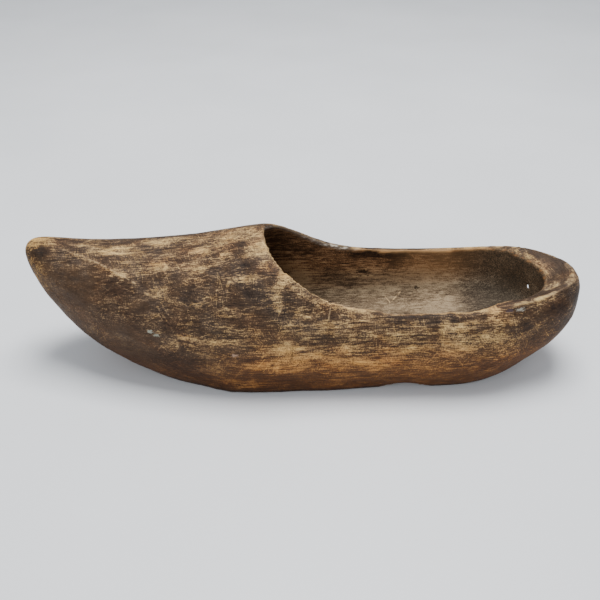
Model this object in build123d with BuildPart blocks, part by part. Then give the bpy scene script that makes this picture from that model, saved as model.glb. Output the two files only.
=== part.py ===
from build123d import *
import os
from math import cos, sin, radians

# A pointed wooden clog for the left foot, carved from a single block of wood.
# Millimetres. +X runs to the heel, +Y to the inner side of the foot, +Z up.
# The origin is on the ground, under the middle of the clog's bounding box.

# ---- driving dimensions -------------------------------------------------
LENGTH = 370.0                # toe tip to back of heel
TIP_X = -LENGTH / 2
BACK_X = LENGTH / 2

CROWN_POWER = 2.2             # roundness of a cross-section above its widest line (2 is an ellipse)
KEEL_POWER = 2.6              # and below it, where the clog is squarer
QUARTER_STEPS = 4             # spline spans in each quarter of a cross-section
HEADINGS = ((0, 1), (-1, 0), (0, -1), (1, 0))   # of a cross-section, where each quarter starts

# Outer shape, from toe tip to heel. A keel below zero is sawn off by the flat sole, and a crown
# behind the instep is sawn off by the mouth.
# x, half width, height of widest line, crown, keel, lean of the toe to the inner side
HULL = (
    (TIP_X, 2.0, 77.0, 80.0, 74.0, 9.0),
    (-182.0, 8.5, 75.5, 84.0, 66.0, 8.5),
    (-176.0, 14.5, 72.0, 85.8, 53.0, 7.5),
    (-164.0, 21.0, 63.5, 85.0, 34.5, 7.0),
    (-145.0, 29.5, 52.0, 83.4, 15.5, 5.5),
    (-120.0, 39.0, 43.0, 82.6, 2.5, 4.0),
    (-94.0, 45.5, 39.0, 84.0, -9.0, 3.0),
    (-63.0, 50.5, 37.5, 87.5, -18.0, 1.5),
    (-30.0, 52.5, 36.0, 94.0, -17.0, 0.0),
    (-3.0, 51.8, 35.0, 92.5, -15.0, 0.0),
    (24.0, 51.0, 35.0, 82.0, -14.5, 0.0),
    (60.0, 50.2, 35.0, 79.5, -13.5, 0.0),
    (100.0, 49.5, 35.5, 81.0, -13.0, 0.0),
    (130.0, 46.4, 38.0, 81.5, -6.0, 0.8),
    (150.0, 40.0, 43.5, 81.0, 4.0, 1.6),
    (165.0, 33.8, 47.5, 76.8, 16.5, 0.9),
    (176.0, 25.3, 49.0, 72.4, 29.0, 0.0),
    (183.0, 14.5, 51.4, 68.0, 40.2, -0.5),
    (BACK_X, 4.0, 52.0, 61.0, 46.5, -0.5),
)

# Side view of the saw cut that opens the mouth: x, height of the rim
RIM = (
    (-30.0, 98.5),
    (-16.0, 86.6),
    (-3.0, 75.8),
    (10.0, 68.5),
    (24.0, 63.4),
    (45.0, 60.6),
    (80.0, 59.0),
    (115.0, 60.8),
    (140.0, 63.8),
    (162.0, 67.4),
    (175.0, 68.6),
    (190.0, 60.5),
)

# Room for the foot, from the toe end to the heel. Its roof runs out through the mouth.
# x, half width, height of widest line, roof, floor, lean
OPEN_ROOF = 110.0             # the open part is cut well above the rim
ROOM = (
    (-114.0, 6.0, 44.0, 50.0, 38.0, 3.5),
    (-108.0, 16.0, 43.0, 56.0, 30.0, 3.5),
    (-92.0, 27.0, 41.0, 64.0, 23.0, 3.0),
    (-66.0, 36.5, 39.0, 73.0, 18.0, 2.0),
    (-40.0, 40.5, 38.0, 84.0, 16.0, 0.5),
    (-16.0, 41.2, 37.0, 95.0, 16.0, 0.0),
    (12.0, 40.4, 37.0, 104.0, 17.0, 0.0),
    (80.0, 40.2, 40.0, OPEN_ROOF, 22.0, 0.4),
    (108.0, 38.8, 43.0, OPEN_ROOF, 24.5, 1.2),
    (130.0, 34.8, 46.0, OPEN_ROOF, 26.5, 3.2),
    (147.0, 27.6, 48.0, OPEN_ROOF, 29.0, 3.8),
    (156.0, 19.6, 50.0, OPEN_ROOF, 32.5, 3.6),
    (161.5, 10.6, 53.0, OPEN_ROOF, 38.0, 3.6),
    (164.0, 3.5, 56.0, OPEN_ROOF, 48.0, 3.6),
)

ARCH_START = 52.0             # notch under the arch, between forefoot sole and heel
ARCH_END = 86.0
ARCH_RISE = 5.5

BEVEL_CENTRE = (96.0, 2.5)    # the rim's broad bevel at the heel falls towards the mouth
BEVEL_LENGTH = 69.0           # half length and half width of the bevel where it leaves the mouth
BEVEL_WIDTH = 38.5
BEVEL_HEIGHT = 61.5           # height of the bevel there
BEVEL_RISE = 0.39             # rise of the bevel for each millimetre outwards
BEVEL_DEPTH = 8.0             # how far the bevel's cutter runs on, below and above
BEVEL_TOP = 14.0

CORD_HOLE_BORE = 4.0          # slanting hole through the inner wall of the heel, to tie a pair
CORD_HOLE_AT = (162.0, 19.0, 42.0)
CORD_HOLE_TURN = 68.0         # degrees from +X towards +Y
CORD_HOLE_FALL = 31.0         # degrees below level
CORD_HOLE_REACH = 30.0


def quarter_points(quarter, half_width, widest, crown, keel, lean):
    """A quarter of a cross-section, a superellipse that is squarer below its widest line.

    Quarter 0 climbs from the inner side to the crown, and the others follow round.
    """
    upper = quarter < 2
    power = 2 / (CROWN_POWER if upper else KEEL_POWER)
    reach = (crown if upper else keel) - widest
    side = 1 if quarter in (0, 3) else -1
    points = []
    for step in range(QUARTER_STEPS + 1):
        turn = step / QUARTER_STEPS
        if quarter % 2:
            turn = 1 - turn
        across = abs(cos(radians(90 * turn))) ** power if turn < 1 else 0
        up = abs(sin(radians(90 * turn))) ** power
        points.append((lean + side * half_width * across, widest + reach * up))
    return points


with BuildPart() as clog_body:
    # outer shape, with a flat sole
    for x, *shape in HULL:
        with BuildSketch(Plane.YZ.offset(x)):
            with BuildLine():
                for quarter in range(4):
                    ends = HEADINGS[quarter], HEADINGS[(quarter + 1) % 4]
                    Spline(*quarter_points(quarter, *shape), tangents=ends)
            make_face()
    loft()
    split(bisect_by=Plane.XY, keep=Keep.TOP)

    # saw cut of the mouth
    with BuildSketch(Plane.XZ):
        with BuildLine():
            rim = Spline(*RIM)
            Polyline(rim @ 1, (RIM[-1][0], OPEN_ROOF), (RIM[0][0], OPEN_ROOF), rim @ 0)
        make_face()
    extrude(amount=LENGTH, both=True, mode=Mode.SUBTRACT)

    # room for the foot
    for x, *shape in ROOM:
        with BuildSketch(Plane.YZ.offset(x)):
            with BuildLine():
                for quarter in range(4):
                    ends = HEADINGS[quarter], HEADINGS[(quarter + 1) % 4]
                    Spline(*quarter_points(quarter, *shape), tangents=ends)
            make_face()
    loft(mode=Mode.SUBTRACT)

    # bevel round the back of the rim
    for rise in (-BEVEL_DEPTH, BEVEL_TOP):
        size = 1 + rise / BEVEL_RISE / BEVEL_LENGTH
        with BuildSketch(Plane.XY.offset(BEVEL_HEIGHT + rise)):
            with Locations(BEVEL_CENTRE):
                Ellipse(BEVEL_LENGTH * size, BEVEL_WIDTH * size)
    loft(ruled=True, mode=Mode.SUBTRACT)

    # arch notch
    with BuildSketch(Plane.XZ):
        with BuildLine():
            ThreePointArc((ARCH_START, 0), ((ARCH_START + ARCH_END) / 2, ARCH_RISE), (ARCH_END, 0))
            Line((ARCH_END, 0), (ARCH_START, 0))
        make_face()
    extrude(amount=LENGTH, both=True, mode=Mode.SUBTRACT)

    # cord hole
    fall, turn = radians(CORD_HOLE_FALL), radians(CORD_HOLE_TURN)
    hole_axis = (cos(fall) * cos(turn), cos(fall) * sin(turn), -sin(fall))
    with BuildSketch(Plane(origin=CORD_HOLE_AT, z_dir=hole_axis)):
        Circle(CORD_HOLE_BORE / 2)
    extrude(amount=CORD_HOLE_REACH, both=False, mode=Mode.SUBTRACT)

clog_body.part.label = "clog_body"

os.makedirs("parts", exist_ok=True)
export_step(clog_body.part, "parts/clog_body.step")
print("box", clog_body.part.bounding_box(), "volume", round(clog_body.part.volume / 1000), "cm3")
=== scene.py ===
"""An old pointed clog, carved from one block of wood: its worn surface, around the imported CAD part.

Metres. +X runs to the heel, +Y to the inner side of the foot, +Z up, as in the CAD part.
"""

import itertools
import math
from types import SimpleNamespace

import bmesh
import bpy
import numpy as np
from mathutils import Euler, Matrix, Vector


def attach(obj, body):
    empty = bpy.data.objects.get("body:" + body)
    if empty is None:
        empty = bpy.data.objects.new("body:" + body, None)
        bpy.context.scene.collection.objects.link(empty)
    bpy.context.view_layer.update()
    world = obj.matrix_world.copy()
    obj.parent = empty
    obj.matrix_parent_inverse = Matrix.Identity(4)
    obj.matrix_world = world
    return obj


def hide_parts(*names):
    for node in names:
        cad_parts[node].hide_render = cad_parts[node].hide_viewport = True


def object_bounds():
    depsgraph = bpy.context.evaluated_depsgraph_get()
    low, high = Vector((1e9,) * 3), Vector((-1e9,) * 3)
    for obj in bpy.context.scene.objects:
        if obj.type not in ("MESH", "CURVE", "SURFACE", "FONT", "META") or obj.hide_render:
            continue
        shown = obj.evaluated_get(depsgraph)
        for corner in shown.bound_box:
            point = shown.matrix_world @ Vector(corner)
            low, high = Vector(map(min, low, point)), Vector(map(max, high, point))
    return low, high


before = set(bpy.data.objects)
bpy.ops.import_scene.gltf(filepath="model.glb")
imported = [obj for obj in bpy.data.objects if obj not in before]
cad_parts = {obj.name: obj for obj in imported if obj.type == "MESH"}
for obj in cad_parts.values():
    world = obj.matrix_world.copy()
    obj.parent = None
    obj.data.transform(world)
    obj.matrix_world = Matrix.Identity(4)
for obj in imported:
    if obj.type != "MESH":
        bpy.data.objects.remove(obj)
cad_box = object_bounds()

MM = 0.001
CAD_NODE = "clog_body"

# ---- studio, in the clog's own frame -----------------------------------------------------
CAMERA_PLACE = (-1.3 * MM, -409.2 * MM, 319.8 * MM)
CAMERA_FALL = 34.09           # degrees that the view falls below level
CAMERA_ANGLE = 45.36          # degrees across the picture
LIGHTS = (                    # name, place and size in metres, power in watts
    ("sky_light", (0.10, 0.28, 1.55), 0.8, 34),
    ("front_fill", (-0.5, -1.6, 0.9), 1.2, 12),
)
LIT_PLACE = (0, 0, 0.05)      # the lights face this place
SKY_COLOUR = (0.80, 0.84, 0.90, 1)
SKY_STRENGTH = 0.54
FLOOR_HALF = 12.0

# ---- mesh --------------------------------------------------------------------------------
VOXEL = 1.40 * MM             # size of the even mesh's faces
SMOOTHINGS = 1
SHORTEST_EDGE = 0.12 * MM     # shorter ones are dissolved after the cord hole is cut
RIM_BLUR = 14                 # times that the field for nearness to the mouth's edge is blurred
BEVEL_BLUR = 30               # and the field for the broader bevel at the heel

# ---- the knife's and the gouge's marks ---------------------------------------------------
KNIFE_CUT = (46, 16, 16)      # size of one flat cut outside, in millimetres
KNIFE_HEIGHT = 0.95           # height of the ridges between the cuts, in millimetres
GOUGE_SCOOP = (22, 12, 12)    # size of one scoop in the room
GOUGE_DEPTH = 0.7
DEEPEST_MARK = 2.5            # no mark is deeper or higher than this, in millimetres
HIGHEST_MARK = 1.2
RIDGE_WIDTH = 1.6 * MM
FLAT_SOLE = 0.9 * MM          # points below this height stay on the flat sole

# ---- places on the clog ------------------------------------------------------------------
# a line down the middle of the foot's room: the walls of the room face it
ROOM_AXIS_X = (-90 * MM, 145 * MM)
ROOM_AXIS_Y = 2 * MM
ROOM_AXIS_Z = 44 * MM

# cord hole through the inner wall of the heel, as in the CAD part
CORD_HOLE_AT = (162 * MM, 19 * MM, 42 * MM)
CORD_HOLE_TURN = 68           # degrees from +X towards +Y
CORD_HOLE_FALL = 31           # degrees below level
CORD_HOLE_REACH = 30 * MM
CORD_HOLE_RADIUS = 2 * MM
CORD_HOLE_LEAD = 4 * MM       # the drill starts this far inside the room
CORD_HOLE_SIDES = 20

# where the wood is rubbed bare (above 0) or black with dirt (below 0), with two patches of painted shade
# under the far rim:
# centre in millimetres, half sizes in millimetres, strength
PATCHES = (
    # top of the toe, from the tip to the mouth
    ((-172, 9, 86), (15, 11, 6), 0.8),
    ((-132, 0, 83), (34, 14, 7), 0.5),
    ((-171, -2.5, 82), (7, 5, 6), -1.2),
    ((-150, -3, 83), (12, 5, 5), -0.5),
    ((-124, -1, 82), (19, 7, 5), 1.2),
    ((-112, -12, 80), (14, 5, 5), 0.5),
    ((-118, -20, 76), (9, 4, 4), 0.8),
    ((-86, 9, 84), (26, 7, 6), 1.1),
    ((-92, -17, 80), (10, 5, 5), 1.0),
    ((-75, -13, 84), (9, 5, 5), -0.5),
    ((-68, 6, 87), (9, 6, 5), 0.7),
    ((-64, -8, 87), (10, 5, 5), 1.0),
    ((-64, -24, 82), (6, 4, 5), 0.7),
    ((-47, -18, 88), (6, 5, 5), 0.8),
    ((-41, -10, 91), (6, 4, 5), -1.1),
    ((-33, -25, 88), (7, 5, 5), -1.1),
    ((-42, 4, 91), (18, 14, 7), 1.1),
    ((-28, -15, 91), (10, 12, 6), 1.2),
    ((-20, 14, 91), (6, 7, 6), -0.9),
    ((-25, -29, 87), (4, 5, 5), 1.0),
    ((-35, -33, 82), (12, 4, 4), 1.1),
    # down from the rim
    ((-19, -35, 81), (4, 6, 8), -0.3),
    ((-11, -33, 82), (6, 7, 6), 0.9),
    ((-13, -37, 79), (5.5, 6, 7), 1.0),
    ((-15, -43, 71), (4.5, 5, 6), 1.3),
    ((2, -43, 69), (9, 4, 3), -0.6),
    ((-11, -46, 64), (10, 5, 4), -0.9),
    ((-28, -41, 73), (8, 5, 7), -0.8),
    ((5, -45, 63), (13, 5, 5), 1.1),
    ((26, -46, 57), (18, 5, 4), 0.6),
    ((38, -49, 49), (9, 5, 4), 0.7),
    # outer side of the toe
    ((-112, -27, 71), (18, 8, 9), -0.8),
    ((-76, -33, 73), (11, 8, 7), -0.9),
    ((-80, -40, 61), (9, 6, 5), -0.6),
    ((-98, -36, 61), (12, 6, 7), -0.7),
    ((-150, -16, 60), (22, 16, 22), -0.2),
    ((-95, -38, 50), (24, 9, 10), -0.3),
    ((-82, -42, 24), (24, 12, 12), -0.6),
    ((-71, -47, 47), (12, 6, 4), 0.6),
    ((-44, -45, 65), (11, 4, 4), 0.8),
    ((-33, -51, 52), (10, 5, 4), 1.0),
    ((-47, -51, 46), (15, 5, 4), 0.7),
    # outer side under the mouth
    ((45, -50, 50), (50, 9, 15), 0.35),
    ((-9, -52, 41), (15, 5, 5), 1.1),
    ((-12, -51, 29), (22, 8, 13), 0.7),
    ((16, -50, 46), (8, 5, 5), -0.7),
    ((31, -51, 40), (9, 5, 5), 1.0),
    ((-38, -48, 10), (20, 8, 5), 0.6),
    ((34, -51, 31), (50, 6, 8), 0.7),
    ((60, -49, 49), (24, 5, 5), 0.5),
    ((50, -50, 40), (14, 5, 4), 0.5),
    ((66, -50, 40), (17, 5, 5), 0.9),
    ((59, -46, 57), (8, 4, 3), -0.7),
    ((87, -50, 41), (5, 5, 5), -0.5),
    ((84, -44, 59.5), (14, 4, 3), -0.8),
    ((98, -46, 54), (16, 5, 5), 1.0),
    ((102, -49, 44), (17, 6, 8), 1.1),
    ((122, -47, 47), (9, 6, 6), 0.6),
    # heel
    ((125, -43, 58), (11, 5, 6), 0.9),
    ((136, -42, 44), (34, 12, 16), 0.5),
    ((152, -33, 63), (13, 6, 6), 0.9),
    ((142, -40, 51), (8, 6, 5), -0.9),
    ((158, -33, 40), (8, 6, 8), 0.5),
    ((166, -29, 51), (9, 8, 7), -0.6),
    ((165, -29, 63), (6, 5, 4), 0.9),
    ((177, -16, 48), (7, 9, 8), 0.6),
    ((182, 4, 52), (6, 12, 8), -0.6),
    ((161, -14, 63), (12, 9, 5), 1.4),
    ((171, -2, 64), (6, 6, 5), 0.5),
    # rim
    ((57, -41, 61), (23, 3.5, 3), -1.3),
    ((112, -39, 61), (16, 4, 3), 0.7),
    ((165, 10, 63), (10, 10, 6), 0.6),
    # painted shade on the far wall just under the rim, where the rim overhangs it
    ((58, 39, 58), (36, 6, 5), -2.0),
    ((115, 38, 59), (18, 6, 4), -0.9),
    # walls of the room
    ((-6, 41, 38), (18, 8, 18), 1.4),
    ((3, 39, 27), (10, 6, 8), 0.6),
    ((36, 39, 38), (16, 6, 12), -0.5),
    ((98, 38, 39), (36, 6, 11), 0.8),
    ((111, 34, 31), (14, 6, 6), 0.7),
    ((135, 36, 41), (16, 8, 9), 1.3),
    ((157, 30, 38), (9, 10, 10), -0.4),
    ((162, 11, 45), (8, 8, 7), 1.0),
)
# where the dark skin is smooth and hardly scratched: centre and half sizes in millimetres
CALM = (
    ((-152, -16, 52), (46, 26, 40)),
    ((-112, -34, 34), (34, 18, 22)),
    ((-100, -30, 60), (16, 12, 10)),
)
# cuts and dents: centre, half size and depth in millimetres
DENTS = (
    ((-10.9, -28.5, 82.5), (2.2, 3.5, 3.0), 0.8),        # near rim
    ((5.0, -35.5, 71.5), (2.0, 3.5, 2.5), 0.9),
    ((17.3, -36.5, 65.5), (1.6, 4.5, 3.0), 1.0),
    ((138.0, -37.0, 62.0), (3.5, 3.0, 2.5), 0.6),
    ((-171.0, -2.0, 83.5), (5.0, 3.5, 4.0), 0.5),        # tip of the toe
    ((84.6, 35.8, 29.4), (1.6, 1.6, 1.6), 1.2),          # nail hole
)

# how the rim of the mouth leaves the CAD part's even curve:
# centre, half sizes and shift in millimetres
RIM_SHIFTS = (
    ((33, -39, 62), (24, 9, 8), (0, 2.2, 1.0)),
    ((86, -39, 59), (20, 9, 8), (0, 1.0, 0.5)),
    ((128, -32, 62), (16, 9, 8), (0, 1.0, 0.8)),
    ((-24, 9, 93), (8, 16, 8), (-1.6, 0, 0)),
)

# the forefoot's lower edge is fuller than in the CAD part
SOLE_SPREAD = 0.075           # share of the width
SOLE_SPREAD_TOP = 12 * MM
SOLE_SPREAD_ALONG = (-72 * MM, -45 * MM, 12 * MM, 72 * MM)

# how far the near rim beside the instep stands back, in and up from the CAD part's
RIM_STEP = (1.0, 1.3, 1.6)    # millimetres along each axis
RIM_STEP_BEFORE = 0.65        # share of it that has come in before the missing splinter

# straight scratches: ends and half width in millimetres, and how pale (above 0) or dark (below 0)
CUT_LINES = (
    ((60, 33.9, 28), (64.8, 26.4, 23.3), 0.6, 0.75),     # V on the insole
    ((64.8, 26.4, 23.3), (72.6, 33.9, 28), 0.7, 0.9),
    ((17.8, -38.7, 65.3), (16.6, -45.5, 59.4), 0.7, 0.28),
    ((-5.7, -51.7, 44), (-6.4, -51.9, 31), 0.7, -0.4),
    ((32.2, -50.6, 43), (32.6, -50.7, 28), 1.1, -0.4),
    ((9, -51, 41), (21, -51, 36.8), 0.7, -0.6),
    ((-157, -1.5, 83), (-134, -11.3, 79.4), 0.5, 0.25),  # along the toe's ridge
    ((-134, -11.3, 79.4), (-106, -26.5, 72.8), 0.6, 0.35),
    ((38, 39.6, 36.5), (52, 39.4, 37.5), 0.8, 0.5),      # under the knot
    ((-17, -30.5, 83), (-11, -29, 82.5), 0.8, -0.7),     # beside the missing splinter
)

# small spots of another colour: centre and half sizes in millimetres, colour
FLECKS = (
    ((-97, -41.5, 46.5), (2.8, 3, 1.6), (158, 160, 144)),
    ((-93, -42.5, 44.5), (3.0, 3, 1.4), (150, 150, 132)),
    ((138.5, -38, 61), (4.5, 3, 1.3), (142, 138, 126)),
    ((131, -39.5, 61), (3.5, 3, 1.4), (66, 54, 58)),
    ((-43, -51, 35), (3, 3, 1.8), (160, 130, 108)),
    ((44.5, 39.6, 41), (7, 3, 2.4), (34, 22, 15)),       # knot in the inner wall
    ((84.6, 35.8, 29.4), (2.6, 2, 2), (40, 29, 22)),     # nail hole
    ((70, -41, 20.5), (3, 1.5, 1.5), (60, 46, 35)),
)

# knife ridge where the flat top of the toe meets its outer side
TOE_RIDGE = (
    (-158, -1, 83.2), (-150, -4.5, 82.2), (-134, -11.3, 79.4), (-120, -18.3, 76.9), (-106, -26.5, 72.8),
)
# outer edge of the bevel around the heel end of the mouth
HEEL_RIDGE = (
    (112, -39.5, 60.5), (131, -37, 62.6), (144, -34, 64.4), (151, -32, 65), (158, -28, 66.7),
    (166, -21, 66.7), (175, -13, 67.4), (181.5, 0, 67), (178.5, 12, 67.3),
)


# ---- colours, as 0-255 screen values -----------------------------------------------------
SKIN_COLOURS = (              # from black dirt to bare wood
    (0.02, (36, 23, 14)),
    (0.18, (62, 44, 28)),
    (0.34, (90, 67, 45)),
    (0.50, (126, 98, 67)),
    (0.66, (176, 144, 96)),
    (0.86, (236, 197, 125)),
)
ROOM_COLOURS = (
    (0.15, (42, 27, 17)),
    (0.45, (90, 64, 43)),
    (0.65, (142, 105, 72)),
    (0.90, (190, 152, 112)),
)
INSOLE_COLOURS = (
    (0.05, (52, 40, 30)),
    (0.25, (84, 68, 52)),
    (0.50, (124, 105, 82)),
    (0.75, (164, 143, 113)),
)
LIP_COLOURS = (
    (0.40, (48, 43, 42)),
    (0.56, (84, 79, 76)),
    (0.70, (198, 190, 176)),
)
# painted highlight along the thin edge of the near lip
LIP_HIGHLIGHT = (212, 176, 136)    # thin edge of the near lip
PALE_SCRATCH = (216, 184, 138)
DARK_SCRATCH = (34, 22, 15)

# weights of the wood's patterns in how bare it is
BROAD_PATTERNS = {"clouds": 0.40, "blots": 0.50, "streaks": 0.55, "dashes": 0.40}
FINE_PATTERNS = {"specks": 0.55, "hairs": 0.50, "ticks": 0.12}
ROOM_PATTERNS = {"clouds": 0.6, "blots": 0.8, "streaks": 0.8, "dashes": 0.7, "specks": 0.8, "hairs": 0.9}

# depth of the bump, in millimetres
GROOVE_DEPTH = 0.50
GRIT_DEPTH = 0.32

# directions of the fine scratches: lean in degrees, width in millimetres
SCRATCH_RUNS = ((12, 0.45), (55, 0.50), (-38, 0.55), (96, 0.50), (-72, 0.60), (150, 0.55))


# ---- fields over an array of points ------------------------------------------------------
def scrambled(cells, seed):
    """A repeatable random number from 0 to 1 for each row of whole numbers."""
    mixed = cells[:, 0] * 73856093 ^ cells[:, 1] * 19349663 ^ cells[:, 2] * 83492791 ^ (seed + 1) * 40503
    mixed = (mixed ^ mixed >> 13) * 1274126177
    return ((mixed ^ mixed >> 16) & 0xFFFF) / 0xFFFF


def soft_noise(points, seed):
    """A smooth random field from -1 to 1 whose lumps are about one unit across."""
    cells = np.floor(points).astype(np.int64)
    part = points - cells
    part = part * part * (3 - 2 * part)
    total = np.zeros(len(points))
    for corner in itertools.product((0, 1), repeat=3):
        weight = np.prod(np.where(corner, part, 1 - part), axis=1)
        total += weight * scrambled(cells + np.array(corner), seed)
    return 2 * total - 1


def facet_height(points, seed):
    """Squared distance to the nearest of some scattered points: flat cuts with ridges between them."""
    cells = np.floor(points).astype(np.int64)
    nearest = np.full(len(points), 9.0)
    for step in itertools.product((-1, 0, 1), repeat=3):
        cell = cells + np.array(step)
        spot = cell + np.column_stack([scrambled(cell, seed + axis) for axis in range(3)])
        nearest = np.minimum(nearest, ((points - spot) ** 2).sum(axis=1))
    return nearest


def smooth_step(low, high, values):
    """0 at low, 1 at high and smooth between, where low may be the greater one."""
    part = np.clip((values - low) / (high - low), 0, 1)
    return part * part * (3 - 2 * part)


def blob(points, centre, half_sizes, firm=0.3):
    """1 at a place given in millimetres, fading to 0 over the half sizes."""
    gap = (points - np.array(centre) * MM) / (np.array(half_sizes) * MM)
    return 1 - smooth_step(firm, 1.15, np.linalg.norm(gap, axis=1))


def line_distance(points, line):
    """Distance in metres to a line of points given in millimetres."""
    nearest = np.full(len(points), 1.0)
    for start, end in zip(line, line[1:]):
        start, end = np.array(start) * MM, np.array(end) * MM
        run = end - start
        part = np.clip((points - start) @ run / (run @ run), 0, 1)
        gap = points - start - part[:, None] * run
        nearest = np.minimum(nearest, np.sqrt((gap ** 2).sum(axis=1)))
    return nearest


# ---- the mesh ----------------------------------------------------------------------------
def even_copy(node, name):
    """A copy of a CAD node's shape with an even mesh, its edges a little rounded."""
    piece = bpy.data.objects.new(name, node.data.copy())
    bpy.context.scene.collection.objects.link(piece)
    remesh = piece.modifiers.new("even_mesh", "REMESH")
    remesh.mode = "VOXEL"
    remesh.voxel_size = VOXEL
    shaped = piece.evaluated_get(bpy.context.evaluated_depsgraph_get())
    mesh = bpy.data.meshes.new_from_object(shaped)
    piece.modifiers.clear()
    piece.data = mesh
    return piece


def drill_cord_hole(piece):
    """Cuts the cord hole, which the even mesh is too coarse to keep."""
    fall, turn = math.radians(CORD_HOLE_FALL), math.radians(CORD_HOLE_TURN)
    axis = Vector((math.cos(fall) * math.cos(turn), math.cos(fall) * math.sin(turn), -math.sin(fall)))
    turned = axis.to_track_quat("Z", "Y").to_matrix().to_4x4()
    middle = Vector(CORD_HOLE_AT) + axis * (CORD_HOLE_REACH - CORD_HOLE_LEAD) / 2
    drill = bmesh.new()
    bmesh.ops.create_cone(
        drill,
        cap_ends=True,
        segments=CORD_HOLE_SIDES,
        radius1=CORD_HOLE_RADIUS,
        radius2=CORD_HOLE_RADIUS,
        depth=CORD_HOLE_REACH + CORD_HOLE_LEAD,
        matrix=Matrix.Translation(middle) @ turned,
    )
    mesh = bpy.data.meshes.new("drill")
    drill.to_mesh(mesh)
    drill.free()
    tool = bpy.data.objects.new("drill", mesh)
    bpy.context.scene.collection.objects.link(tool)
    cut = piece.modifiers.new("cord_hole", "BOOLEAN")
    cut.operation = "DIFFERENCE"
    cut.object = tool
    shaped = piece.evaluated_get(bpy.context.evaluated_depsgraph_get())
    piece_mesh = bpy.data.meshes.new_from_object(shaped)
    piece.modifiers.clear()
    piece.data = piece_mesh
    bpy.data.objects.remove(tool)

    # the cut leaves slivers around the hole
    cleaned = bmesh.new()
    cleaned.from_mesh(piece_mesh)
    bmesh.ops.dissolve_degenerate(cleaned, dist=SHORTEST_EDGE, edges=cleaned.edges)
    bmesh.ops.triangulate(cleaned, faces=[face for face in cleaned.faces if len(face.verts) > 4])
    cleaned.to_mesh(piece_mesh)
    cleaned.free()


class Skin:
    """The points of a mesh as arrays, and what can be worked out over them."""

    def __init__(self, mesh):
        self.mesh = mesh
        self.count = len(mesh.vertices)
        self.points = np.zeros(self.count * 3)
        mesh.vertices.foreach_get("co", self.points)
        self.points = self.points.reshape(-1, 3)
        edges = np.zeros(len(mesh.edges) * 2, dtype=np.int32)
        mesh.edges.foreach_get("vertices", edges)
        self.edges = edges.reshape(-1, 2)
        self.degree = np.bincount(self.edges.ravel(), minlength=self.count)

    def neighbour_mean(self, values):
        first, second = self.edges.T
        total = np.bincount(first, values[second], self.count)
        total += np.bincount(second, values[first], self.count)
        return total / self.degree

    def blurred(self, values, times):
        for _ in range(times):
            values = (values + self.neighbour_mean(values)) / 2
        return values

    def normals(self):
        self.write()
        normals = np.zeros(self.count * 3, dtype=np.float32)
        self.mesh.vertex_normals.foreach_get("vector", normals)
        return normals.reshape(-1, 3).astype(float)

    def smooth(self, times):
        for _ in range(times):
            self.points = np.column_stack([self.blurred(axis, 1) for axis in self.points.T])

    def convexity(self):
        """Millimetres that each point stands proud of its neighbours, along its normal."""
        means = np.column_stack([self.neighbour_mean(axis) for axis in self.points.T])
        return ((self.points - means) * self.normals()).sum(axis=1) / MM

    def write(self):
        self.mesh.vertices.foreach_set("co", self.points.astype(np.float32).ravel())
        self.mesh.update()

    def keep(self, name, values):
        """Stores a number at each point, for the material to read."""
        field = self.mesh.attributes.new(name, "FLOAT", "POINT")
        field.data.foreach_set("value", values.astype(np.float32))


def inside_share(points, normals):
    """1 on the walls of the foot's room, 0 on the outer surface."""
    axis_point = np.column_stack([
        np.clip(points[:, 0], *ROOM_AXIS_X),
        np.full(len(points), ROOM_AXIS_Y),
        np.full(len(points), ROOM_AXIS_Z),
    ])
    away = points - axis_point
    away /= np.linalg.norm(away, axis=1)[:, None] + 1e-9
    return 1 - smooth_step(-0.12, 0.12, (away * normals).sum(axis=1))


def survey(skin):
    """What lies where on the smooth mesh, before anything is carved: arrays over its points."""
    normals = skin.normals()
    points = skin.points.copy()
    inside = inside_share(points, normals)
    outside = 1 - inside
    near_room = skin.blurred(inside, RIM_BLUR)
    ragged = 0.8 + 0.7 * soft_noise(points / (6 * MM), 33) + 0.9 * soft_noise(points / (2.6 * MM), 34)
    toe_ridge = np.exp(-(line_distance(points, TOE_RIDGE) / RIDGE_WIDTH) ** 2) * outside
    heel_ridge = np.exp(-(line_distance(points, HEEL_RIDGE) / RIDGE_WIDTH) ** 2) * outside
    return SimpleNamespace(
        points=points,
        normals=normals,
        inside=inside,
        outside=outside,
        edge=smooth_step(0.02, 0.22, skin.blurred(skin.convexity(), 1)),
        near_room=near_room,
        near_bevel=skin.blurred(near_room, BEVEL_BLUR),
        rim=smooth_step(0.05, 0.2, near_room) * smooth_step(0.97, 0.8, near_room),
        toe_ridge=toe_ridge,
        heel_ridge=heel_ridge * np.clip(ragged, 0.25, 1.2),
        waves=soft_noise(points / (45 * MM), 5),
    )


def tool_marks(here):
    """Height in millimetres of the knife's cuts, the gouge's scoops, wear and knocks."""
    points = here.points
    x, _, z = points.T
    cuts = facet_height(points / np.array(KNIFE_CUT) / MM, 3)
    scoops = facet_height(points / np.array(GOUGE_SCOOP) / MM, 11)
    grain = soft_noise(points / np.array((30, 3.5, 3.5)) / MM, 21)
    lumps = soft_noise(points / (6 * MM), 8)
    above_sole = smooth_step(1 * MM, 8 * MM, z)
    heel_room = here.inside * smooth_step(118 * MM, 140 * MM, x)

    outer = KNIFE_HEIGHT * (cuts - 0.35) + 0.25 * here.waves + 0.10 * grain + 0.08 * lumps
    lift = here.outside * above_sole * outer
    lift += here.inside * (0.12 * grain - GOUGE_DEPTH * (scoops - 0.3))
    lift += heel_room * 0.35 * lumps
    worn = 0.10 + 0.25 * (1 - 0.8 * here.rim) * soft_noise(points / (16 * MM), 14)
    lift -= here.edge * worn
    lift += 0.6 * here.toe_ridge + 0.3 * here.heel_ridge
    lift *= 1 - 0.75 * here.rim
    for centre, half_sizes, depth in DENTS:
        lift -= depth * blob(points, centre, half_sizes)
    return np.clip(lift, -DEEPEST_MARK, HIGHEST_MARK)


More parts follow.
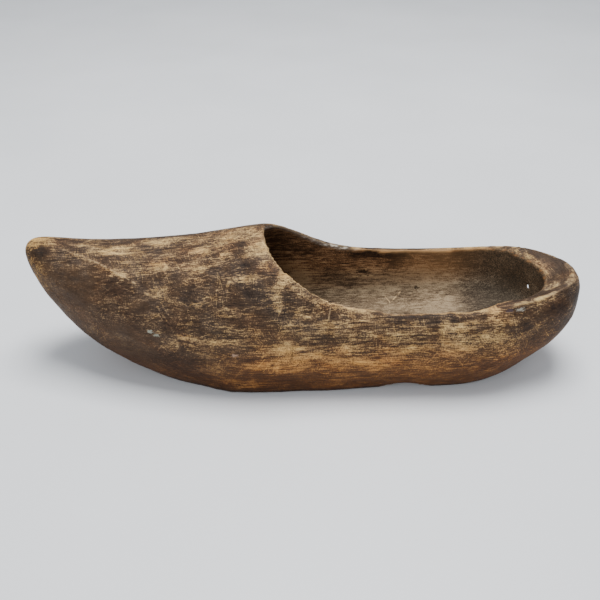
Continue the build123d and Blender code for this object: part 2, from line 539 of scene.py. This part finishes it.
def reshape(skin, here):
    """Moves the rim and the forefoot's lower edge off the CAD part's even curves."""
    points = here.points
    x, y, z = points.T
    for centre, half_sizes, shift in RIM_SHIFTS:
        skin.points += blob(points, centre, half_sizes)[:, None] * np.array(shift) * MM

    start, full, fading, end = SOLE_SPREAD_ALONG
    spread = smooth_step(start, full, x) * smooth_step(end, fading, x)
    spread *= smooth_step(SOLE_SPREAD_TOP, 0, z) * here.outside
    skin.points[:, 1] *= 1 + SOLE_SPREAD * spread

    # the near rim comes in, and steps at the end of a missing splinter
    coming_in = RIM_STEP_BEFORE * smooth_step(-21 * MM, -12.5 * MM, x)
    coming_in += (1 - RIM_STEP_BEFORE) * smooth_step(-11.8 * MM, -10.6 * MM, x)
    coming_in *= smooth_step(30 * MM, 2 * MM, x) * (y < 0)
    skin.points += (coming_in * here.rim)[:, None] * np.array(RIM_STEP) * MM


def wear_and_shade_field(points):
    """How bare (above 0) or dirty (below 0) the wood is, from the patches with ragged edges; two dark
    patches are painted shade under the far rim.
    """
    shifts = np.column_stack([
        2.6 * soft_noise(points / (8 * MM), seed) + 1.3 * soft_noise(points / (3.5 * MM), seed + 1)
        for seed in (41, 51, 61)
    ])
    wear = np.zeros(len(points))
    for centre, half_sizes, strength in PATCHES:
        wear += strength * blob(points + shifts * MM, centre, half_sizes, 0.45)
    return wear


def keep_mouth_fields(skin, here):
    """Stores the bands along the edge of the mouth."""
    x, y, _ = here.points.T
    near_room = here.near_room
    band = smooth_step(0.20, 0.38, near_room)
    at_heel = smooth_step(95 * MM, 125 * MM, x) * smooth_step(-16 * MM, 2 * MM, y)
    band = np.maximum(band, at_heel * smooth_step(0.08, 0.20, here.near_bevel)) * here.outside
    skin.keep("mouth_edge", band * np.clip(0.9 + soft_noise(here.points / (5 * MM), 35), 0, 1.3))

    front = smooth_step(0.16, 0.30, near_room) * smooth_step(0.92, 0.75, near_room)
    front *= smooth_step(46 * MM, 30 * MM, x) * smooth_step(-22 * MM, -8 * MM, y)
    thin = smooth_step(0.30, 0.42, near_room) * smooth_step(0.72, 0.60, near_room)
    thin *= 0.6 * smooth_step(-6 * MM, -12 * MM, x) * smooth_step(-36 * MM, -28 * MM, y)
    skin.keep("front_lip", np.maximum(front, thin))

    # painted highlight: a thin pale line along the near lip's edge
    pale = smooth_step(0.36, 0.48, near_room) * smooth_step(0.78, 0.64, near_room)
    skin.keep("pale_lip", pale * smooth_step(44 * MM, 24 * MM, x) * smooth_step(2 * MM, -8 * MM, y))
    skin.keep("under_edge", here.inside * smooth_step(0.97, 0.80, near_room))


def keep_fields(skin, here):
    """Stores what the material reads at each point."""
    points, inside, outside = here.points, here.inside, here.outside
    x, _, z = points.T
    facing_up = here.normals[:, 2]
    rim_face = outside * smooth_step(0.5, 0.75, facing_up) * smooth_step(-12 * MM, 2 * MM, x)
    insole = inside * np.maximum(
        smooth_step(0.30, 0.75, facing_up), 0.6 * smooth_step(48 * MM, 34 * MM, z),
    )
    warm = smooth_step(50 * MM, 22 * MM, z + 3 * MM * here.waves)
    warm *= smooth_step(-75 * MM, -25 * MM, x)
    warm = np.maximum(warm, 0.8 * smooth_step(30 * MM, 10 * MM, z)) * outside

    skin.keep("inside", skin.blurred(inside, 1))
    skin.keep("edge", here.edge)
    skin.keep("wear", wear_and_shade_field(points))
    skin.keep("rim_face", skin.blurred(rim_face, 1))
    skin.keep("insole", skin.blurred(insole, 3))
    skin.keep("ridge", 0.4 * here.toe_ridge + here.heel_ridge)
    skin.keep("calm", np.max([blob(points, centre, half_sizes) for centre, half_sizes in CALM], axis=0))
    skin.keep("warm", warm)


def carve(skin):
    """Gives the even mesh its tool marks and wear, and the fields that the material reads."""
    skin.smooth(SMOOTHINGS)
    here = survey(skin)
    skin.points = here.points + here.normals * (tool_marks(here) * MM)[:, None]
    reshape(skin, here)

    # the sole stays flat on the floor, and nothing leaves the CAD part's box
    height = here.points[:, 2]
    skin.points[:, 2] = np.where(height < FLAT_SOLE, height, skin.points[:, 2])
    low, high = (np.array(corner) for corner in cad_box)
    skin.points = np.clip(skin.points, low, high)

    keep_fields(skin, here)
    keep_mouth_fields(skin, here)
    skin.write()


# ---- materials ---------------------------------------------------------------------------
def shade(red, green, blue):
    """A colour given as 0-255 screen values, as the linear values that a shader takes."""
    values = [value / 255 for value in (red, green, blue)]
    return tuple(v / 12.92 if v <= 0.04045 else ((v + 0.055) / 1.055) ** 2.4 for v in values) + (1.0,)


class Tree:
    """A material's nodes. Each method adds a node and returns what comes out of it."""

    def __init__(self, name):
        self.material = bpy.data.materials.new(name)
        self.material.use_nodes = True
        self.nodes = self.material.node_tree.nodes
        self.links = self.material.node_tree.links
        self.shader = self.nodes["Principled BSDF"]
        self.place = self.nodes.new("ShaderNodeTexCoord").outputs["Object"]

    def join(self, value, socket):
        if isinstance(value, bpy.types.NodeSocket):
            self.links.new(value, socket)
        elif value is not None:
            socket.default_value = value

    def field(self, name):
        node = self.nodes.new("ShaderNodeAttribute")
        node.attribute_name = name
        return node.outputs["Fac"]

    def sum(self, operation, first, second=None, clamp=False):
        node = self.nodes.new("ShaderNodeMath")
        node.operation = operation
        node.use_clamp = clamp
        self.join(first, node.inputs[0])
        self.join(second, node.inputs[1])
        return node.outputs[0]

    def stretched(self, sizes, turn=(0, 0, 0), vector=None):
        """Coordinates whose unit is sizes millimetres along each axis, after a turn in degrees."""
        turned = self.nodes.new("ShaderNodeMapping")
        turned.vector_type = "TEXTURE"
        turned.inputs["Rotation"].default_value = Euler([math.radians(angle) for angle in turn])
        turned.inputs["Scale"].default_value = [size * MM for size in sizes]
        self.join(vector or self.place, turned.inputs["Vector"])
        return turned.outputs[0]

    def noise(self, sizes, detail=3.0, roughness=0.55, turn=(0, 0, 0), bend=0.0, vector=None):
        node = self.nodes.new("ShaderNodeTexNoise")
        node.inputs["Scale"].default_value = 1.0
        node.inputs["Detail"].default_value = detail
        node.inputs["Roughness"].default_value = roughness
        node.inputs["Distortion"].default_value = bend
        self.join(self.stretched(sizes, turn, vector), node.inputs["Vector"])
        return node.outputs["Fac"]

    def window(self, value, low, high, bottom=0.0, top=1.0):
        """Bottom below low, top above high, and smooth between."""
        node = self.nodes.new("ShaderNodeMapRange")
        node.interpolation_type = "SMOOTHSTEP"
        self.join(value, node.inputs["Value"])
        for name, number in (("From Min", low), ("From Max", high), ("To Min", bottom), ("To Max", top)):
            self.join(number, node.inputs[name])
        return node.outputs[0]

    def tint(self, share, colour, factors):
        """The colour times three factors, where share is 1."""
        return self.mix(share, colour, (*factors, 1), "MULTIPLY")

    def mix(self, share, first, second, blend="MIX"):
        node = self.nodes.new("ShaderNodeMix")
        node.data_type = "RGBA"
        node.blend_type = blend
        self.join(share, node.inputs[0])
        self.join(first, node.inputs[6])
        self.join(second, node.inputs[7])
        return node.outputs[2]

    def vector(self, operation, first, second=None):
        node = self.nodes.new("ShaderNodeVectorMath")
        node.operation = operation
        self.join(first, node.inputs[0])
        self.join(second, node.inputs[1])
        return node.outputs["Value" if operation in ("DOT_PRODUCT", "LENGTH") else "Vector"]

    def ramp(self, value, stops):
        """The colour at value, from a list of places from 0 to 1 and their colours on the screen."""
        node = self.nodes.new("ShaderNodeValToRGB")
        elements = node.color_ramp.elements
        for place, _ in stops[1:-1]:
            elements.new(place)
        for element, (place, colour) in zip(elements, stops):
            element.position = place
            element.color = shade(*colour)
        self.join(value, node.inputs[0])
        return node.outputs[0]

    def blend(self, share, first, second):
        """The first value where share is 0, the second where it is 1."""
        return self.sum("ADD", first, self.sum("MULTIPLY", share, self.sum("SUBTRACT", second, first)))

    def weighted(self, *terms):
        """The sum of values, each times its weight."""
        total = None
        for value, weight in terms:
            part = self.sum("MULTIPLY", value, weight)
            total = part if total is None else self.sum("ADD", total, part)
        return total

    def bump(self, height, depth, below=None):
        node = self.nodes.new("ShaderNodeBump")
        node.inputs["Distance"].default_value = depth * MM
        self.join(height, node.inputs["Height"])
        self.join(below, node.inputs["Normal"])
        return node.outputs[0]


def scratches(tree):
    """Fine pale scratches in many directions, a few millimetres to a few centimetres long."""
    bend = tree.nodes.new("ShaderNodeTexNoise")
    bend.inputs["Scale"].default_value = 1.0
    tree.join(tree.stretched((30, 30, 30)), bend.inputs["Vector"])
    wobble = tree.vector("SCALE", bend.outputs["Color"])
    wobble.node.inputs["Scale"].default_value = 7 * MM
    bent = tree.vector("ADD", tree.place, wobble)
    marks = None
    for index, (lean, width) in enumerate(SCRATCH_RUNS):
        lines = tree.noise((16, 16, width), 0.0, 0.5, (lean * 0.4, lean, lean * 0.7), 0.0, bent)
        spots = tree.noise((20, 20, 20), 1.0, 0.5, (index * 40, 20, 0))
        mark = tree.sum("MULTIPLY", tree.window(lines, 0.64, 0.76), tree.window(spots, 0.46, 0.60))
        marks = mark if marks is None else tree.sum("MAXIMUM", marks, mark)
    return marks


def cut_line(tree, start, end, half_width):
    """1 along a straight scratch between two places in millimetres, on the insole or a side wall."""
    on_side = abs(start[1]) > 35
    flatten = Vector((1, 0.2, 1) if on_side else (1, 1, 0.2))
    start, end = Vector(start) * flatten * MM, Vector(end) * flatten * MM
    run = end - start
    gap = tree.vector("SUBTRACT", tree.vector("MULTIPLY", tree.place, tuple(flatten)), tuple(start))
    along = tree.vector("DOT_PRODUCT", gap, tuple(run / run.length_squared))
    along = tree.sum("MULTIPLY", along, 1.0, clamp=True)
    on_line = tree.vector("SCALE", tuple(run))
    tree.join(along, on_line.node.inputs["Scale"])
    away = tree.vector("LENGTH", tree.vector("SUBTRACT", gap, on_line))
    broken = tree.window(tree.noise((2.5, 2.5, 2.5), 1.0), 0.36, 0.52)
    on_scratch = tree.window(away, half_width * MM * 0.3, half_width * MM, 1.0, 0.0)
    return tree.sum("MULTIPLY", on_scratch, broken)


def fleck(tree, centre, half_sizes, ragged):
    """1 on a small ragged spot at a place given in millimetres."""
    gap = tree.vector("SUBTRACT", tree.place, tuple(Vector(centre) * MM))
    gap = tree.vector("DIVIDE", gap, tuple(Vector(half_sizes) * MM))
    size = tree.sum("ADD", tree.vector("LENGTH", gap), tree.sum("MULTIPLY", ragged, 3.0))
    return tree.window(size, 1.9, 2.4, 0.85, 0.0)


def wood_patterns(tree):
    """The wood's patterns, from the largest to the finest, and the fields of the mesh."""
    split = tree.nodes.new("ShaderNodeSeparateXYZ")
    tree.join(tree.place, split.inputs[0])
    along, across, up = split.outputs
    names = (
        "inside", "edge", "wear", "rim_face", "insole", "ridge", "warm",
        "mouth_edge", "under_edge", "front_lip", "pale_lip", "calm",
    )
    wood = SimpleNamespace(along=along, across=across, up=up, **{name: tree.field(name) for name in names})
    wood.not_calm = tree.window(wood.calm, 0.0, 1.0, 1.0, 0.0)
    wood.heel = tree.window(along, 120 * MM, 145 * MM)
    bevel = tree.sum("MULTIPLY", wood.rim_face, wood.heel)
    wood.flat_bevel = tree.sum("MULTIPLY", bevel, tree.window(wood.mouth_edge, 0.0, 1.0, 1.0, 0.0))

    # the grain runs along the clog, and around it at the back of the heel
    heel_end = tree.window(along, 140 * MM, 170 * MM)
    streaks = tree.noise((26, 2.3, 1.9), 4.0, 0.65, (0, -3, 0))
    hairs = tree.noise((8, 0.55, 0.5), 1.0, 0.6)
    wood.clouds = tree.noise((52, 34, 26), 2.0, 0.5)
    wood.blots = tree.noise((19, 9, 8), 4.0, 0.62, bend=0.4)
    wood.streaks = tree.blend(heel_end, streaks, tree.noise((8, 24, 2.2), 4.0, 0.65))
    wood.dashes = tree.noise((5.5, 1.0, 0.9), 2.0, 0.6)
    wood.specks = tree.noise((0.8, 0.8, 0.8), 1.0, 0.7)
    wood.hairs = tree.blend(heel_end, hairs, tree.noise((2, 8, 0.55), 1.0, 0.6))
    wood.ticks = tree.noise((0.6, 4.5, 4.5), 1.0, 0.6)
    marks = tree.sum("MULTIPLY", scratches(tree), tree.window(wood.calm, 0.0, 1.0, 1.0, 0.3))
    wood.marks = tree.sum("MULTIPLY", marks, tree.window(up, 10 * MM, 35 * MM, 0.3, 1.0))
    return wood


def patterns_sum(tree, wood, weights):
    return tree.weighted(*((getattr(wood, name), weight) for name, weight in weights.items()))


def bare_share(tree, wood):
    """How far the dark skin is rubbed through: 0 is black with dirt, 1 is pale bare wood."""
    fine_wood = SimpleNamespace(**vars(wood))
    specks_share = tree.window(wood.along, 125 * MM, 155 * MM, 1.0, 0.55)
    fine_wood.specks = tree.sum("MULTIPLY", wood.specks, specks_share)
    broad = patterns_sum(tree, wood, BROAD_PATTERNS)
    fine = patterns_sum(tree, fine_wood, FINE_PATTERNS)
    middle = 0.5 * (sum(BROAD_PATTERNS.values()) + sum(FINE_PATTERNS.values()))
    pattern = tree.sum("SUBTRACT", tree.sum("ADD", broad, fine), middle)
    for strength in (
        tree.window(wood.up, 10 * MM, 45 * MM, 0.45, 1.0),
        tree.window(wood.flat_bevel, 0.0, 1.0, 1.0, 0.5),
        tree.window(wood.calm, 0.0, 1.0, 1.0, 0.45),
        tree.window(wood.wear, 0.3, 1.2, 1.0, 1.35),
    ):
        pattern = tree.sum("MULTIPLY", pattern, strength)

    far_side = tree.window(wood.across, -18 * MM, 6 * MM)
    ring = tree.sum("MULTIPLY", wood.heel, tree.window(far_side, 0.0, 1.0, -0.20, 0.04))
    ring = tree.sum("MULTIPLY", wood.mouth_edge, tree.sum("ADD", 0.22, ring))
    rim_tone = tree.window(wood.along, 30 * MM, 55 * MM, 0.06, -0.06)
    rim_tone = tree.sum("MULTIPLY", wood.rim_face, rim_tone)
    cracks = tree.window(tree.noise((30, 1.1, 0.9), 2.0, 0.6, (0, -3, 0)), 0.56, 0.68, 0.0, -0.16)
    cracks = tree.sum("MULTIPLY", cracks, wood.not_calm)
    overall = tree.window(wood.along, 125 * MM, 160 * MM, 0.36, 0.41)
    level = tree.weighted(
        (wood.wear, 0.185), (wood.edge, 0.30), (wood.ridge, 0.20),
        (wood.marks, 0.14), (wood.warm, 0.04), (wood.calm, 0.02),
    )
    for part in (pattern, rim_tone, ring, cracks, overall):
        level = tree.sum("ADD", level, part)
    crisp = tree.window(level, 0.36, 0.58)
    return tree.weighted((level, 0.70), (crisp, 0.21))


def skin_colour(tree, wood, level):
    """The outer surface."""
    along, up = wood.along, wood.up
    colour = tree.ramp(level, SKIN_COLOURS)

    # redder and more slate blue in places, with brown stains, and greyer on top
    hue = tree.noise((30, 18, 14), 3.0, 0.6, (20, 30, 0))
    colour = tree.tint(tree.window(hue, 0.50, 0.68, 0.0, 0.45), colour, (1.10, 0.90, 0.76))
    slate = tree.window(hue, 0.36, 0.50, 0.8, 0.0)
    slate = tree.sum("MULTIPLY", slate, tree.window(level, 0.34, 0.56, 1.0, 0.0))
    slate = tree.sum("MULTIPLY", slate, tree.window(up, 25 * MM, 50 * MM))
    colour = tree.tint(slate, colour, (0.86, 0.99, 1.24))
    stains = tree.noise((11, 4.5, 4), 3.0, 0.6, (0, 8, 5))
    colour = tree.tint(tree.window(stains, 0.44, 0.66, 0.0, 0.7), colour, (0.70, 0.62, 0.52))
    on_toe = tree.window(along, -90 * MM, -40 * MM, 1.0, 0.0)
    dusty = tree.sum("MAXIMUM", tree.window(up, 38 * MM, 70 * MM), on_toe)
    dusty = tree.sum("MULTIPLY", dusty, tree.window(level, 0.45, 0.75, 1.0, 0.2))
    colour = tree.tint(dusty, colour, (0.97, 1.02, 1.17))
    colour = tree.tint(wood.flat_bevel, colour, (0.96, 1.02, 1.10))

    # towards the sole: more golden and red, then darker low down and nearly black at the edge, which is
    # painted shade where the clog meets the floor, with some dirt
    colour = tree.tint(wood.warm, colour, (1.20, 0.92, 0.64))
    low = tree.sum("SUBTRACT", up, tree.window(along, -110 * MM, -10 * MM, 18 * MM, 0.0))
    # painted shade: darker below 28 mm above the sole, reaching higher under the lifted toe
    colour = tree.tint(tree.window(low, 4 * MM, 28 * MM, 1.0, 0.0), colour, (0.64, 0.58, 0.53))
    colour = tree.tint(tree.window(along, -174 * MM, -160 * MM, 1.0, 0.0), colour, (1.0, 0.92, 0.72))
    # painted contact shade: nearly black along the sole's edge
    return tree.mix(tree.window(up, 0.5 * MM, 6 * MM, 0.8, 0.0), colour, shade(34, 24, 18))


def room_colour(tree, wood):
    """The room for the foot: dark red-brown, nearly black with painted shade towards the toe, grey on the
    insole.
    """
    along = wood.along
    level = patterns_sum(tree, wood, ROOM_PATTERNS)
    level = tree.sum("ADD", level, tree.sum("MULTIPLY", wood.wear, 0.22))
    level = tree.sum("SUBTRACT", level, 1.80)
    room = tree.ramp(level, ROOM_COLOURS)
    room = tree.mix(tree.window(along, 55 * MM, 95 * MM, 0.0, 0.35), room, shade(170, 130, 88))
    # painted shade deep under the toe's cap, where little light reaches, on top of darker wood
    room = tree.mix(tree.window(along, -40 * MM, 10 * MM, 0.6, 0.0), room, shade(26, 15, 10))

    paler = tree.window(along, -20 * MM, 70 * MM, -0.18, 0.12)
    darker = tree.window(along, 86 * MM, 128 * MM, 0.0, -0.30)
    insole_level = tree.sum("ADD", level, tree.sum("ADD", paler, darker))
    room = tree.mix(wood.insole, room, tree.ramp(insole_level, INSOLE_COLOURS))

    # the heel end is rough and greyer
    room = tree.tint(tree.window(along, 100 * MM, 140 * MM), room, (0.72, 0.78, 0.90))
    rough = tree.window(wood.specks, 0.43, 0.54, 0.95, 0.25)
    rough = tree.sum("MULTIPLY", rough, tree.window(along, 108 * MM, 140 * MM))
    room = tree.mix(rough, room, shade(50, 39, 30))
    room = tree.mix(tree.window(along, 105 * MM, 150 * MM, 0.0, 0.35), room, shade(84, 76, 62))

    # scraped under the rim
    scraped = tree.window(tree.noise((9, 3, 3), 3.0, 0.65), 0.48, 0.62, 0.0, 0.75)
    room = tree.mix(tree.sum("MULTIPLY", wood.under_edge, scraped), room, shade(166, 118, 74))
    # pale on the room's convex edges: edge wear with a painted highlight, weaker at the heel
    edge_highlight = tree.sum("MULTIPLY", wood.edge, tree.window(along, 120 * MM, 145 * MM, 0.7, 0.15))
    return tree.mix(edge_highlight, room, shade(196, 152, 102))


def add_lip(tree, wood, colour):
    """The front and far lip is grey with paler chips, and the near one has a thin painted highlight along
    its edge.
    """
    chips = tree.noise((6, 2.5, 2.0), 3.0, 0.65)
    chips = tree.sum("ADD", chips, tree.window(wood.along, -5 * MM, 12 * MM, -0.12, 0.05))
    lip = tree.ramp(chips, LIP_COLOURS)
    colour = tree.mix(tree.sum("MULTIPLY", wood.front_lip, 0.85), colour, lip)
    # painted highlight along the near lip's edge, broken up by noise
    edge_highlight = tree.window(tree.noise((7, 3, 3), 2.0), 0.34, 0.50, 0.25, 0.70)
    return tree.mix(tree.sum("MULTIPLY", wood.pale_lip, edge_highlight), colour, shade(*LIP_HIGHLIGHT))


def add_marks(tree, colour):
    """The scratches and flecks that have a place of their own."""
    for start, end, half_width, tone in CUT_LINES:
        share = tree.sum("MULTIPLY", cut_line(tree, start, end, half_width), abs(tone))
        colour = tree.mix(share, colour, shade(*(PALE_SCRATCH if tone > 0 else DARK_SCRATCH)))
    ragged = tree.noise((1.6, 1.2, 1.2), 3.0, 0.75)
    for centre, half_sizes, tone in FLECKS:
        colour = tree.mix(fleck(tree, centre, half_sizes, ragged), colour, shade(*tone))
    return colour


def wood_material():
    tree = Tree("old_worn_wood")
    wood = wood_patterns(tree)
    level = bare_share(tree, wood)
    colour = tree.mix(wood.inside, skin_colour(tree, wood, level), room_colour(tree, wood))
    colour = add_marks(tree, add_lip(tree, wood, colour))
    tree.join(colour, tree.shader.inputs["Base Color"])

    rough = tree.window(level, 0.3, 0.7, 0.60, 0.80)
    rough = tree.sum("MAXIMUM", rough, tree.sum("MULTIPLY", wood.inside, 0.84))
    tree.join(rough, tree.shader.inputs["Roughness"])
    tree.shader.inputs["Specular IOR Level"].default_value = 0.18

    grooves = tree.weighted((wood.streaks, 1.0), (wood.dashes, 0.7))
    grit = tree.weighted((level, -0.4), (wood.marks, -0.6), (wood.specks, 0.5), (wood.hairs, 0.5))
    relief = tree.bump(grit, GRIT_DEPTH, tree.bump(grooves, GROOVE_DEPTH))
    tree.join(relief, tree.shader.inputs["Normal"])
    return tree.material


def floor_material():
    tree = Tree("pale_floor")
    mottle = tree.noise((180, 180, 180), 4.0, 0.55)
    colour = tree.mix(mottle, shade(232, 234, 236), shade(242, 244, 247))
    tree.join(colour, tree.shader.inputs["Base Color"])
    tree.join(tree.window(mottle, 0.3, 0.7, 0.42, 0.55), tree.shader.inputs["Roughness"])
    tree.join(tree.bump(tree.noise((4, 4, 4), 2.0), 0.05), tree.shader.inputs["Normal"])
    return tree.material


# ---- studio ------------------------------------------------------------------------------
def add_floor():
    half = FLOOR_HALF
    corners = [(-half, -half, 0), (half, -half, 0), (half, half, 0), (-half, half, 0)]
    mesh = bpy.data.meshes.new("floor")
    mesh.from_pydata(corners, [], [(0, 1, 2, 3)])
    floor = bpy.data.objects.new("floor", mesh)
    bpy.context.scene.collection.objects.link(floor)
    mesh.materials.append(floor_material())


def add_light(name, place, size, power):
    """A soft square light that faces the clog."""
    light = bpy.data.lights.new(name, "AREA")
    light.size = size
    light.energy = power
    lamp = bpy.data.objects.new(name, light)
    lamp.location = place
    lamp.rotation_euler = (Vector(LIT_PLACE) - Vector(place)).to_track_quat("-Z", "Y").to_euler()
    bpy.context.scene.collection.objects.link(lamp)


def add_world():
    world = bpy.data.worlds.new("studio")
    world.use_nodes = True
    backdrop = world.node_tree.nodes["Background"]
    backdrop.inputs["Color"].default_value = SKY_COLOUR
    backdrop.inputs["Strength"].default_value = SKY_STRENGTH
    bpy.context.scene.world = world


def add_camera():
    camera = bpy.data.cameras.new("camera")
    camera.sensor_fit = "HORIZONTAL"
    camera.angle = math.radians(CAMERA_ANGLE)
    camera.clip_start = 0.01
    holder = bpy.data.objects.new("camera", camera)
    holder.location = CAMERA_PLACE
    holder.rotation_euler = (math.radians(90 - CAMERA_FALL), 0, 0)
    bpy.context.scene.collection.objects.link(holder)
    bpy.context.scene.camera = holder


add_camera()
add_world()
add_floor()
for light_row in LIGHTS:
    add_light(*light_row)

clog = even_copy(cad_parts[CAD_NODE], "carved_clog")
carve(Skin(clog.data))
drill_cord_hole(clog)
clog.data.materials.clear()
clog.data.materials.append(wood_material())
for face in clog.data.polygons:
    face.use_smooth = True
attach(clog, "root")
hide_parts(CAD_NODE)
